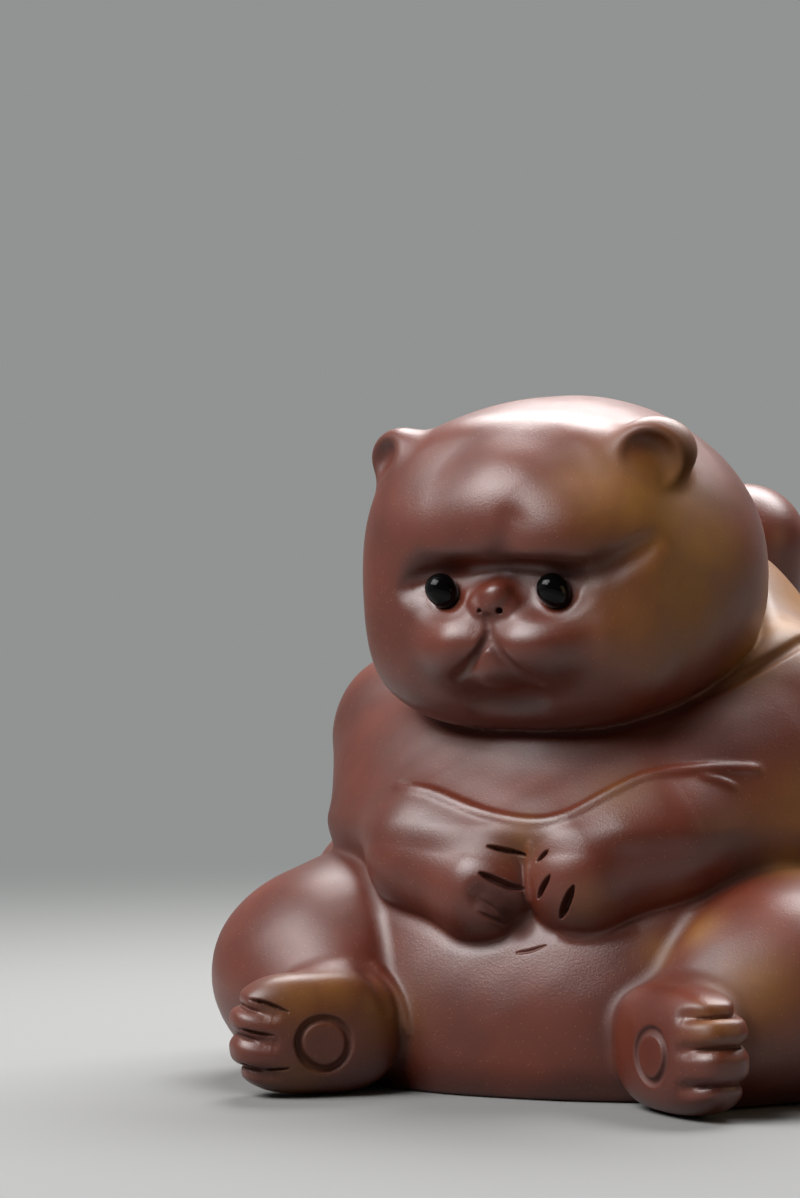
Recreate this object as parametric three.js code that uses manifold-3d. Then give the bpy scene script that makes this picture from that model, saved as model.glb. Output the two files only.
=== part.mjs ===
// Cat tea pet: a small unglazed clay figure of a very fat, flat-faced cat.
// It sits upright on its rump, soles forward, with its forepaws together on its belly.
// It is hand built from leather-hard lumps of clay that are luted together and then fired:
// a hollow body, a hollow head, ears, arms, thighs, feet and a tail, with two glass bead eyes.
//
// Millimetres, +Z up. The cat faces -Y and its own left is +X. It stands on z = 0.
// Every lump is a soft field, negative inside. A piece is the surface where its field is zero.

import * as THREE from "three";
import { mergeVertices } from "three/addons/utils/BufferGeometryUtils.js";
import Module from "manifold-3d";

const wasm = await Module();
wasm.setup();

// Driving dimensions

const SEAM = 0.3; // gap left where one lump is luted to the next
const WALL = 4.0; // clay wall of the hollow body and head
const CAVITY_SOFTNESS = 2;

const BELLY = { halfWidth: 36, halfDepth: 33.5, rise: 31, widestHeight: 9, squareness: 2.3 };
const CHEST = { halfWidth: 32, halfDepth: 28, rise: 14, height: 41, setBack: 5, squareness: 2.2 };
const NAPE = { halfWidth: 30, halfDepth: 24.5, rise: 32, height: 42.5, setBack: 11 };
const BODY_SOFTNESS = 6; // how far belly, chest and nape flow into each other

const HEAD = { halfWidth: 26.5, halfDepth: 22.1, halfHeight: 22.9, squareness: 2.05 };
const HEAD_SEAT = { side: -1.2, forward: 9.3, height: 65.4, turnDegrees: -3 };
const FACE = { halfWidth: 21.9, halfDepth: 12.4, halfHeight: 21.4, forward: 10.2, drop: 1.5 };
const FACE_SQUARENESS = 2.9;
const SOFTNESS = { face: 4, puffs: 3.5, hollows: 2.5, nose: 1.5 }; // how far the features flow together
const BROW = { halfWidth: 9.5, halfDepth: 7, halfHeight: 5.4, apart: 14.5, height: 7.4, proud: 2.0 };
const BROW_CREASE = { innerHeight: 2.6, outerHeight: 1.5, halfLength: 12.5, width: 2.8, depth: 1.8 };
const MUZZLE = { halfWidth: 5.4, halfDepth: 4.0, halfHeight: 3.9, apart: 9.2, drop: 8.0, sunk: 2.5 };
const NOSE = { halfWidth: 2.3, halfDepth: 2.2, halfHeight: 2.2, drop: 3.6, proud: 1.0 };
const NOSTRIL = { radius: 0.55, apart: 2.9, drop: 4.7 };
const LIP = { halfWidth: 3.3, halfHeight: 2.7, halfDepth: 2.6, drop: 11.4, sunk: 1.7 };
const CHIN_HOLLOW = { halfWidth: 5.5, halfHeight: 2.4, halfDepth: 2.6, drop: 16.6, lifted: 0.9 };
const MOUTH = { apexDrop: 7.4, endDrop: 13.1, halfSpan: 5.1, width: 0.7, depth: 1.3 };

const EYE = { beadRadius: 2.3, apart: 15.2, drop: 2.1, proud: 1.5, clearance: 0.15 };
const EYE_HOLLOW = { halfWidth: 4.3, halfHeight: 3.5, depth: 1.3 };

const EAR = { halfWidth: 5.4, halfThickness: 3.6, halfHeight: 4.4, embed: 0.1 };
const EAR_SEAT = { bearingDegrees: 53, riseDegrees: 34, fanDegrees: 30 };
const EAR_CUP = { halfWidth: 4.2, halfHeight: 4.0, halfDepth: 3.4, forward: 3.2, drop: 0.9 };

const SHOULDER = { radius: 10, height: 44, bearing: 92, embed: 4.0 };
const ELBOW = { radius: 9.8, height: 34, bearing: 77, embed: 4.2 };
const WRIST = { radius: 7.4, height: 29.4, bearing: 36, embed: 2.6 };
const PAW = { radius: 7.6, height: 25.4, bearing: 13.5, embed: 3.0 };
const PAWS_MEET = 3; // degrees to the cat's left of straight ahead
const LEFT_ARM = { lift: 1.8, plumpness: 1.1 }; // carried a little higher, and fuller, than the right
const ARM_SOFTNESS = 5;
const PALM_GAP = 0.4; // between the two paws where they meet
const FINGER_SLIT = { width: 1.1, depth: 2.2, count: 3, turnStep: 32, rootLean: 22, tipLean: 80 };

const HIP = { halfWidth: 11.8, halfDepth: 14, halfHeight: 13, height: 20, bearing: 103, embed: 1.5 };
const KNEE = { halfWidth: 14.5, halfDepth: 14.5, halfHeight: 13.5, height: 13, bearing: 62.5, embed: 0 };
const THIGH_SOFTNESS = 12;
const SHANK = { topRadius: 8, ankleRadius: 7, topHeight: 19, topBearing: 68, heelward: 4.5 };

const SOLE = { inFromBelly: 14.6, aheadOfBelly: 7.7, height: 7.8, turnDegrees: 41 };
const FOOT = { halfLength: 10.8, halfThickness: 5, halfHeight: 7.6, toeShift: -0.25, squareness: 2.8 };
const TOE_SLIT = { width: 0.8, length: 6.2, depth: 3.0, pitch: 4.1, count: 3 };
const SOLE_PAD = { radius: 3.4, grooveRadius: 0.6, sink: 0.25 };

const TAIL = { rootRadius: 9.5, tipRadius: 8.5, tipHeight: 69.5, rootEmbed: 4, midEmbed: 3, tipEmbed: -9.5 };
const TAIL_TIP_BEARING = 163; // straight behind is 180, so the tip leans to the cat's left
const TAIL_SOFTNESS = 1;

const FLOOR_SLAB = { thickness: 3.4, ventRadius: 4, ventForward: 9 };
const NECK_PASSAGE = { radius: 8, length: 22, forward: 4 };

// Facets round and along each rounded surface; crowding draws them toward the face or the paw.

const LOOK = {
  body: { sectors: 32, rings: 19 },
  head: { sectors: 40, rings: 25, crowding: 1.35 },
  bodyHollow: { sectors: 22, rings: 12 },
  headHollow: { sectors: 16, rings: 9 },
  ear: { sectors: 16, rings: 8 },
  earCup: { sectors: 12, rings: 7 },
  arm: { sectors: 20, rings: 16, crowding: 1.3 },
  haunch: { sectors: 22, rings: 18 },
  foot: { sectors: 22, rings: 13 },
  tail: { sectors: 16, rings: 18 },
  padGroove: { sectors: 5, rings: 18 },
  bead: { sectors: 14, rings: 8 },
  slit: { sectors: 8, rings: 6 },
  bore: { sectors: 20 },
};

const CLAY = { color: 0x6b3a30, roughness: 0.5, metalness: 0.0 };
const BEAD_GLASS = { color: 0x050505, roughness: 0.05, metalness: 0.0 };

// Directions: a bearing turns from the front (-Y) to the cat's left (+X), a rise lifts off level.

function direction(bearing, rise = 0) {
  const b = THREE.MathUtils.degToRad(bearing);
  const r = THREE.MathUtils.degToRad(rise);
  return new THREE.Vector3(Math.sin(b) * Math.cos(r), -Math.cos(b) * Math.cos(r), Math.sin(r));
}

// Soft fields: each takes a point and gives about its distance, in mm, outside the lump.

function puff(centre, radii, power = 2, turn = 0) {
  const cos = Math.cos(turn);
  const sin = Math.sin(turn);
  return (p) => {
    const dx = p.x - centre.x;
    const dy = p.y - centre.y;
    const a = Math.abs(cos * dx + sin * dy) / radii.x;
    const b = Math.abs(cos * dy - sin * dx) / radii.y;
    const c = Math.abs(p.z - centre.z) / radii.z;
    const reach = (a ** power + b ** power + c ** power) ** (1 / power) + 1e-6;
    const slope = Math.hypot(
      a ** (power - 1) / radii.x,
      b ** (power - 1) / radii.y,
      c ** (power - 1) / radii.z,
    );
    return ((reach - 1) * reach ** (power - 1)) / (slope + 1e-9);
  };
}

function limb(from, fromRadius, to, toRadius) {
  const along = to.clone().sub(from);
  const offset = new THREE.Vector3();
  return (p) => {
    offset.copy(p).sub(from);
    const t = THREE.MathUtils.clamp(offset.dot(along) / along.lengthSq(), 0, 1);
    return offset.addScaledVector(along, -t).length() - THREE.MathUtils.lerp(fromRadius, toRadius, t);
  };
}

function join(softness, ...fields) {
  return (p) =>
    fields
      .map((field) => field(p))
      .reduce((near, next) => {
        const overlap = Math.max(softness - Math.abs(near - next), 0) / softness;
        return Math.min(near, next) - (overlap * overlap * softness) / 4;
      });
}

function carve(softness, field, ...hollows) {
  const inverse = join(softness, (p) => -field(p), ...hollows);
  return (p) => -inverse(p);
}

const vec = (x, y, z) => new THREE.Vector3(x, y, z);

// How far a ray from inside the field runs before it leaves the level surface.

function reachOf(field, origin, ray, level = 0) {
  const probe = new THREE.Vector3();
  const at = (distance) => field(probe.copy(origin).addScaledVector(ray, distance)) - level;
  const stride = 0.75;
  let inside = 0;
  while (at(inside + stride) < 0) inside += stride;
  let outside = inside + stride;
  for (let halving = 0; halving < 26; halving += 1) {
    const middle = (inside + outside) / 2;
    if (at(middle) < 0) inside = middle;
    else outside = middle;
  }
  return (inside + outside) / 2;
}

function surfacePoint(field, origin, ray, embed = 0) {
  return origin.clone().addScaledVector(ray, reachOf(field, origin, ray) - embed);
}

// Closed skin of a lump: a sphere whose points are pushed out to the level surface.
// Its pole points along the given axis, and crowding above 1 draws the rings toward that pole.

function skin(field, origin, { pole, sectors, rings, crowding = 1, level = 0 }) {
  const sphere = new THREE.SphereGeometry(1, sectors, rings);
  const turn = new THREE.Quaternion().setFromUnitVectors(vec(0, 1, 0), pole.clone().normalize());
  const points = sphere.attributes.position;
  const ray = new THREE.Vector3();
  for (let i = 0; i < points.count; i += 1) {
    ray.fromBufferAttribute(points, i);
    const polar = Math.PI * (Math.acos(THREE.MathUtils.clamp(ray.y, -1, 1)) / Math.PI) ** crowding;
    const around = Math.atan2(ray.z, ray.x);
    ray.set(Math.sin(polar) * Math.cos(around), Math.cos(polar), Math.sin(polar) * Math.sin(around));
    ray.applyQuaternion(turn);
    const reach = reachOf(field, origin, ray, level);
    points.setXYZ(i, origin.x + ray.x * reach, origin.y + ray.y * reach, origin.z + ray.z * reach);
  }
  return solid(sphere);
}

// Closed skin of a long lump: rays leave its spine squarely and fan out round both ends.
// The cap share is the part of the rings that goes to each end.

function sleeve(field, spine, { sectors, rings, capShare }) {
  const sphere = new THREE.SphereGeometry(1, sectors, rings);
  const points = sphere.attributes.position;
  const frames = spine.computeFrenetFrames(rings);
  const ray = new THREE.Vector3();
  for (let i = 0; i < points.count; i += 1) {
    ray.fromBufferAttribute(points, i);
    const ring = Math.round((rings * Math.acos(THREE.MathUtils.clamp(ray.y, -1, 1))) / Math.PI);
    const share = ring / rings;
    const along = THREE.MathUtils.clamp((share - capShare) / (1 - 2 * capShare), 0, 1);
    const nearest = Math.round(along * rings);
    const past = Math.max(share - (1 - capShare), 0) - Math.max(capShare - share, 0);
    const tilt = (past / capShare) * (Math.PI / 2);
    const around = Math.atan2(ray.z, ray.x);
    ray
      .copy(frames.normals[nearest])
      .multiplyScalar(Math.cos(around))
      .addScaledVector(frames.binormals[nearest], Math.sin(around))
      .multiplyScalar(Math.cos(tilt))
      .addScaledVector(frames.tangents[nearest], Math.sin(tilt));
    const start = spine.getPointAt(along);
    points.setXYZ(i, ...surfacePoint(field, start, ray).toArray());
  }
  return solid(sphere);
}

// Closed geometry to solid and back

function solid(geometry) {
  const bare = new THREE.BufferGeometry();
  bare.setAttribute("position", geometry.attributes.position.clone());
  if (geometry.index) bare.setIndex(geometry.index.clone());
  const merged = mergeVertices(bare, 1e-5);
  return new wasm.Manifold(
    new wasm.Mesh({
      numProp: 3,
      vertProperties: Float32Array.from(merged.attributes.position.array),
      triVerts: Uint32Array.from(merged.index.array),
    }),
  );
}

function mesh(name, body, material) {
  const { vertProperties, triVerts } = body.getMesh();
  const geometry = new THREE.BufferGeometry();
  geometry.setAttribute("position", new THREE.BufferAttribute(Float32Array.from(vertProperties), 3));
  geometry.setIndex(new THREE.BufferAttribute(Uint32Array.from(triVerts), 1));
  geometry.computeVertexNormals();
  const named = new THREE.Mesh(geometry, material);
  named.name = name;
  return named;
}

function upright(geometry, x, y, z) {
  return solid(geometry.rotateX(Math.PI / 2).translate(x, y, z));
}

// A slit pressed with the edge of a tool: a thin blade laid from one point toward another,
// standing on edge along the inward direction.

function slit(start, end, inward, { width, depth }) {
  const run = end.clone().sub(start);
  const length = run.length();
  const along = run.normalize();
  const across = inward.clone().cross(along).normalize();
  const down = along.clone().cross(across);
  const blade = new THREE.SphereGeometry(1, LOOK.slit.sectors, LOOK.slit.rings);
  blade.scale(length / 2, width / 2, depth);
  blade.applyMatrix4(new THREE.Matrix4().makeBasis(along, across, down));
  const middle = start.clone().lerp(end, 0.5);
  return solid(blade.translate(middle.x, middle.y, middle.z));
}

// Body: belly, chest and nape roll in one soft mass

const belly = puff(
  vec(0, 0, BELLY.widestHeight),
  vec(BELLY.halfWidth, BELLY.halfDepth, BELLY.rise),
  BELLY.squareness,
);
const chest = puff(
  vec(0, CHEST.setBack, CHEST.height),
  vec(CHEST.halfWidth, CHEST.halfDepth, CHEST.rise),
  CHEST.squareness,
);
const nape = puff(vec(0, NAPE.setBack, NAPE.height), vec(NAPE.halfWidth, NAPE.halfDepth, NAPE.rise));
const body = join(BODY_SOFTNESS, belly, chest, nape);

// A point on or under the body's side, at a height and a bearing round the cat's middle.

function onBody(height, bearing, embed = 0) {
  return surfacePoint(body, vec(0, 0, height), direction(bearing), embed);
}

// Head, worked in its own upright axes: x across, -y out of the face, z up from its middle

const headTurn = THREE.MathUtils.degToRad(HEAD_SEAT.turnDegrees);
const headPlace = new THREE.Matrix4()
  .makeRotationZ(headTurn)
  .setPosition(HEAD_SEAT.side, -HEAD_SEAT.forward, HEAD_SEAT.height);
const headPlaceInverse = headPlace.clone().invert();
const headOrigin = vec(0, 0, 0).applyMatrix4(headPlace);

function placedOnHead(field) {
  const local = new THREE.Vector3();
  return (p) => field(local.copy(p).applyMatrix4(headPlaceInverse));
}

const bothSides = (make) => [make(-1), make(1)];

const bareFace = join(
  SOFTNESS.face,
  puff(vec(0, 0, 0), vec(HEAD.halfWidth, HEAD.halfDepth, HEAD.halfHeight), HEAD.squareness),
  puff(
    vec(0, -FACE.forward, -FACE.drop),
    vec(FACE.halfWidth, FACE.halfDepth, FACE.halfHeight),
    FACE_SQUARENESS,
  ),
);

// Point of the bare face at a sideways place and a height from the head's middle.

function onFace(side, height, embed = 0) {
  return surfacePoint(bareFace, vec(side, 0, height), vec(0, -1, 0), embed);
}

const browLobes = bothSides((side) =>
  puff(
    onFace((side * BROW.apart) / 2, BROW.height, BROW.halfDepth - BROW.proud),
    vec(BROW.halfWidth, BROW.halfDepth, BROW.halfHeight),
  ),
);
const muzzlePuffs = bothSides((side) =>
  puff(
    onFace((side * MUZZLE.apart) / 2, -MUZZLE.drop, MUZZLE.sunk),
    vec(MUZZLE.halfWidth, MUZZLE.halfDepth, MUZZLE.halfHeight),
  ),
);
const noseBall = puff(
  onFace(0, -NOSE.drop, NOSE.halfDepth - NOSE.proud),
  vec(NOSE.halfWidth, NOSE.halfDepth, NOSE.halfHeight),
);
const lip = puff(
  onFace(0, -LIP.drop, LIP.sunk),
  vec(LIP.halfWidth, LIP.halfDepth, LIP.halfHeight),
);
const chinHollow = puff(
  onFace(0, -CHIN_HOLLOW.drop, -CHIN_HOLLOW.lifted),
  vec(CHIN_HOLLOW.halfWidth, CHIN_HOLLOW.halfDepth, CHIN_HOLLOW.halfHeight),
);
const eyeHollows = bothSides((side) =>
  puff(
    onFace((side * EYE.apart) / 2, -EYE.drop, -EYE_HOLLOW.depth),
    vec(EYE_HOLLOW.halfWidth, EYE_HOLLOW.depth * 2, EYE_HOLLOW.halfHeight),
  ),
);

const puffedFace = join(SOFTNESS.puffs, bareFace, ...browLobes, ...muzzlePuffs);
const modelledFace = join(
  SOFTNESS.nose,
  carve(SOFTNESS.hollows, puffedFace, ...eyeHollows, chinHollow),
  noseBall,
  lip,
);
const head = placedOnHead(modelledFace);

// Limbs, each a soft chain of tapered lengths laid over the body

function armStations(side) {
  const { lift, plumpness } = side > 0 ? LEFT_ARM : { lift: 0, plumpness: 1 };
  return [SHOULDER, ELBOW, WRIST, PAW].map(({ radius, height, bearing, embed }, index, all) => {
    const swing = (PAWS_MEET * index) / (all.length - 1);
    return { radius: radius * plumpness, place: onBody(height + lift, side * bearing + swing, embed) };
  });
}

function chain(softness, stations) {
  const lengths = stations
    .slice(1)
    .map((next, i) => limb(stations[i].place, stations[i].radius, next.place, next.radius));
  return join(softness, ...lengths);
}

const arm = (side) => chain(ARM_SOFTNESS, armStations(side));

// Feet stand on edge: the sole looks forward and in, the toes point forward and out.

function soleAxes(side) {
  const out = direction(-side * SOLE.turnDegrees);
  const toes = direction(side * (90 - SOLE.turnDegrees));
  return { out, toes };
}

const solePoint = (side) =>
  vec(side * (BELLY.halfWidth - SOLE.inFromBelly), -(BELLY.halfDepth + SOLE.aheadOfBelly), SOLE.height);

function footCentre(side) {
  const { out, toes } = soleAxes(side);
  return solePoint(side).addScaledVector(out, -FOOT.halfThickness).addScaledVector(toes, FOOT.toeShift);
}

const foot = (side) =>
  puff(
    footCentre(side),
    vec(FOOT.halfLength, FOOT.halfThickness, FOOT.halfHeight),
    FOOT.squareness,
    THREE.MathUtils.degToRad(-side * SOLE.turnDegrees),
  );

const hipCentre = (side) => onBody(HIP.height, side * HIP.bearing, HIP.embed);
const kneeCentre = (side) => onBody(KNEE.height, side * KNEE.bearing, KNEE.embed);

function haunch(side) {
  const hip = puff(hipCentre(side), vec(HIP.halfWidth, HIP.halfDepth, HIP.halfHeight));
  const knee = puff(kneeCentre(side), vec(KNEE.halfWidth, KNEE.halfDepth, KNEE.halfHeight));
  const { out, toes } = soleAxes(side);
  const ankle = footCentre(side)
    .addScaledVector(out, -FOOT.halfThickness)
    .addScaledVector(toes, -SHANK.heelward);
  const shankTop = onBody(SHANK.topHeight, side * SHANK.topBearing, SHANK.topRadius);
  return join(
    THIGH_SOFTNESS,
    hip,
    knee,
    limb(shankTop, SHANK.topRadius, ankle, SHANK.ankleRadius),
  );
}

// Tail: laid up the middle of the back, its tip leaning to one side over the nape

function tailSpine() {
  const behind = 180;
  const { rootRadius, tipHeight, rootEmbed, midEmbed, tipEmbed } = TAIL;
  return new THREE.CatmullRomCurve3([
    onBody(rootRadius, behind, rootEmbed),
    onBody((rootRadius + tipHeight) / 2, (behind + TAIL_TIP_BEARING) / 2, midEmbed),
    onBody(tipHeight, TAIL_TIP_BEARING, tipEmbed),
  ]);
}

function tail(spine) {
  const places = spine.getPoints(LOOK.tail.rings / 2);
  const radiusAt = (i) => THREE.MathUtils.lerp(TAIL.rootRadius, TAIL.tipRadius, i / (places.length - 1));
  return chain(TAIL_SOFTNESS, places.map((place, i) => ({ place, radius: radiusAt(i) })));
}

// Ears: small rounded flaps set in the upper corners of the head, cupped in front

const earDirection = (side) => direction(side * EAR_SEAT.bearingDegrees, EAR_SEAT.riseDegrees);
const earCentre = (side) => surfacePoint(bareFace, vec(0, 0, 0), earDirection(side), EAR.embed);
const earFan = (side) => THREE.MathUtils.degToRad(side * EAR_SEAT.fanDegrees);

const ear = (side) =>
  placedOnHead(
    puff(earCentre(side), vec(EAR.halfWidth, EAR.halfThickness, EAR.halfHeight), 2, earFan(side)),
  );

function earCupCentre(side) {
  const forward = direction(side * EAR_SEAT.fanDegrees);
  return earCentre(side).addScaledVector(forward, EAR_CUP.forward).add(vec(0, 0, -EAR_CUP.drop));
}

const earCup = (side) =>
  placedOnHead(
    puff(
      earCupCentre(side),
      vec(EAR_CUP.halfWidth, EAR_CUP.halfDepth, EAR_CUP.halfHeight),
      2,
      earFan(side),
    ),
  );

const onHead = (point) => point.clone().applyMatrix4(headPlace);

// Solids

const UP = vec(0, 0, 1);
const FACING = direction(HEAD_SEAT.turnDegrees);
const bodyMiddle = vec(0, NAPE.setBack / 2, (BELLY.widestHeight + NAPE.height) / 2);

const bodySkin = (level) => skin(body, bodyMiddle, { pole: UP, ...LOOK.body, level });
const headSkin = (level) =>
  skin(head, headOrigin, { pole: FACING, ...LOOK.head, level });

const bodyKeepOut = bodySkin(SEAM);
const headKeepOut = headSkin(SEAM);

const tall = 4 * (BELLY.rise + NAPE.rise + HEAD.halfHeight);
const aboveTable = solid(new THREE.BoxGeometry(tall, tall, tall).translate(0, 0, tall / 2));

const cavity = carve(
  CAVITY_SOFTNESS,
  (p) => body(p) + WALL,
  (p) => head(p) - WALL,
);
const cavityOrigin = vec(0, 0, BELLY.widestHeight * 2);
const cavityLook = { pole: UP, ...LOOK.bodyHollow };

const neckForward = HEAD_SEAT.forward - NECK_PASSAGE.forward;
const neckHeight = HEAD_SEAT.height - HEAD.halfHeight;
const neckPassage = upright(
  new THREE.CylinderGeometry(
    NECK_PASSAGE.radius,
    NECK_PASSAGE.radius,
    NECK_PASSAGE.length,
    LOOK.bore.sectors,
  ),
  HEAD_SEAT.side,
  -neckForward,
  neckHeight,
);

function bodyShell() {
  return bodySkin(0)
    .subtract(headKeepOut)
    .subtract(skin(cavity, cavityOrigin, cavityLook))
    .subtract(neckPassage)
    .intersect(aboveTable);
}

// The floor slab is cut to the inside of the wall and pierced by the firing vent.

function floorSlab() {
  const plan = skin(cavity, cavityOrigin, { ...cavityLook, level: -SEAM });
  const sheet = new THREE.BoxGeometry(tall, tall, FLOOR_SLAB.thickness);
  const vent = upright(
    new THREE.CylinderGeometry(
      FLOOR_SLAB.ventRadius,
      FLOOR_SLAB.ventRadius,
      3 * FLOOR_SLAB.thickness,
      LOOK.bore.sectors,
    ),
    0,
    -FLOOR_SLAB.ventForward,
    0,
  );
  return plan.intersect(solid(sheet.translate(0, 0, FLOOR_SLAB.thickness / 2))).subtract(vent);
}

function eyeCentre(side) {
  const sink = EYE.beadRadius - EYE.proud;
  return onHead(onFace((side * EYE.apart) / 2, -EYE.drop, sink));
}

function bead(side, radius) {
  const centre = eyeCentre(side);
  const ball = new THREE.SphereGeometry(radius, LOOK.bead.sectors, LOOK.bead.rings);
  return solid(ball.translate(centre.x, centre.y, centre.z));
}

function facePoint(side, height) {
  return onHead(surfacePoint(modelledFace, vec(side, 0, height), vec(0, -1, 0)));
}

function mouthSlit(side) {
  const apex = facePoint(0, -MOUTH.apexDrop);
  const corner = facePoint(side * MOUTH.halfSpan, -MOUTH.endDrop);
  return slit(apex, corner, FACING.clone().negate(), MOUTH);
}

function browSlit(side) {
  const inner = facePoint(0, BROW_CREASE.innerHeight);
  const outer = facePoint(side * BROW_CREASE.halfLength, BROW_CREASE.outerHeight);
  return slit(inner, outer, FACING.clone().negate(), BROW_CREASE);
}

function nostril(side) {
  const rim = facePoint((side * NOSTRIL.apart) / 2, -NOSTRIL.drop);
  const dot = new THREE.SphereGeometry(NOSTRIL.radius, LOOK.slit.sectors, LOOK.slit.rings);
  return solid(dot.translate(rim.x, rim.y, rim.z));
}

const earCupSkin = (side) => skin(earCup(side), onHead(earCupCentre(side)), { pole: UP, ...LOOK.earCup });

function headShell() {
  const hollow = skin(head, headOrigin, { pole: UP, ...LOOK.headHollow, level: -WALL });
  let shell = headSkin(0).subtract(hollow).subtract(neckPassage);
  for (const side of [-1, 1]) {
    shell = shell
      .subtract(bead(side, EYE.beadRadius + EYE.clearance))
      .subtract(browSlit(side))
      .subtract(mouthSlit(side))
      .subtract(nostril(side))
      .subtract(earCupSkin(side));
  }
  return shell;
}

function earFlap(side) {
  return skin(ear(side), onHead(earCentre(side)), { pole: UP, ...LOOK.ear })
    .subtract(headKeepOut)
    .subtract(earCupSkin(side));
}

function armSkin(side, level) {
  const [shoulder, elbow, wrist, paw] = armStations(side).map(({ place }) => place);
  const middle = shoulder.add(elbow).add(elbow).add(wrist).divideScalar(4);
  const pole = paw.sub(middle);
  return skin(arm(side), middle, { pole, ...LOOK.arm, level });
}

// Finger slits fan out over the paw from its back toward its tip and the midline.

function fingerSlit(side, index) {
  const paw = armStations(side)[3].place;
  const inward = direction(-side * 90, -index * FINGER_SLIT.turnStep);
  const ray = (lean) => {
    const angle = THREE.MathUtils.degToRad(lean);
    return direction(0).multiplyScalar(Math.cos(angle)).addScaledVector(inward, Math.sin(angle));
  };
  const root = surfacePoint(arm(side), paw, ray(FINGER_SLIT.rootLean));
  const tip = surfacePoint(arm(side), paw, ray(FINGER_SLIT.tipLean));
  return slit(root, tip, paw.clone().sub(root.clone().lerp(tip, 0.5)), FINGER_SLIT);
}

function armPiece(side) {
  let piece = armSkin(side, 0).subtract(bodyKeepOut).subtract(headKeepOut);
  if (side < 0) piece = piece.subtract(armSkin(1, PALM_GAP));
  for (let i = 0; i < FINGER_SLIT.count; i += 1) piece = piece.subtract(fingerSlit(side, i));
  return piece;
}

function footSkin(side, level) {
  const { toes } = soleAxes(side);
  return skin(foot(side), footCentre(side), { pole: toes, ...LOOK.foot, level });
}

function toeSlit(side, index) {
  const { out, toes } = soleAxes(side);
  const height = (index - (TOE_SLIT.count - 1) / 2) * TOE_SLIT.pitch;
  const level = footCentre(side).addScaledVector(UP, height);
  const root = level
    .clone()
    .addScaledVector(toes, FOOT.halfLength - TOE_SLIT.length)
    .addScaledVector(out, FOOT.halfThickness);
  const tip = level.clone().addScaledVector(toes, FOOT.halfLength);
  return slit(root, tip, out.clone().negate(), TOE_SLIT);
}

function padGroove(side) {
  const { out } = soleAxes(side);
  const { sectors, rings } = LOOK.padGroove;
  const ring = new THREE.TorusGeometry(SOLE_PAD.radius, SOLE_PAD.grooveRadius, sectors, rings);
  ring.applyQuaternion(new THREE.Quaternion().setFromUnitVectors(UP, out));
  const centre = solePoint(side).addScaledVector(out, -SOLE_PAD.sink);
  return solid(ring.translate(centre.x, centre.y, centre.z));
}

function footPiece(side) {
  let piece = footSkin(side, 0).subtract(bodyKeepOut).subtract(padGroove(side));
  for (let i = 0; i < TOE_SLIT.count; i += 1) piece = piece.subtract(toeSlit(side, i));
  return piece.intersect(aboveTable);
}

function haunchPiece(side) {
  const middle = hipCentre(side).lerp(kneeCentre(side), 0.5);
  const pole = kneeCentre(side).sub(hipCentre(side));
  return skin(haunch(side), middle, { pole, ...LOOK.haunch })
    .subtract(bodyKeepOut)
    .subtract(armSkin(side, SEAM))
    .subtract(footSkin(side, SEAM))
    .intersect(aboveTable);
}

function tailPiece() {
  const spine = tailSpine();
  return sleeve(tail(spine), spine, { ...LOOK.tail, capShare: 0.25 })
    .subtract(bodyKeepOut)
    .subtract(headKeepOut)
    .intersect(aboveTable);
}

const clay = new THREE.MeshStandardMaterial(CLAY);
const beadGlass = new THREE.MeshStandardMaterial(BEAD_GLASS);

const pieces = [
  mesh("torso_shell", bodyShell(), clay),
  mesh("floor_slab", floorSlab(), clay),
  mesh("head_shell", headShell(), clay),
  mesh("tail", tailPiece(), clay),
];
for (const [sideName, side] of [
  ["right", -1],
  ["left", 1],
]) {
  pieces.push(
    mesh(`${sideName}_ear`, earFlap(side), clay),
    mesh(`${sideName}_arm`, armPiece(side), clay),
    mesh(`${sideName}_haunch`, haunchPiece(side), clay),
    mesh(`${sideName}_foot`, footPiece(side), clay),
    mesh(`${sideName}_eye_bead`, bead(side, EYE.beadRadius), beadGlass),
  );
}

// The origin is under the middle of the cat's outline, on the table.

const cat = new THREE.Group();
cat.name = "cat_tea_pet";
cat.add(...pieces);
const outline = new THREE.Box3().setFromObject(cat);
const middle = outline.getCenter(new THREE.Vector3());
cat.position.set(-middle.x, -middle.y, -outline.min.z);

export default cat;
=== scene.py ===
"""Looks of a seated clay cat, a small tea pet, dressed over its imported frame."""
import math
from functools import partial

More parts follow.
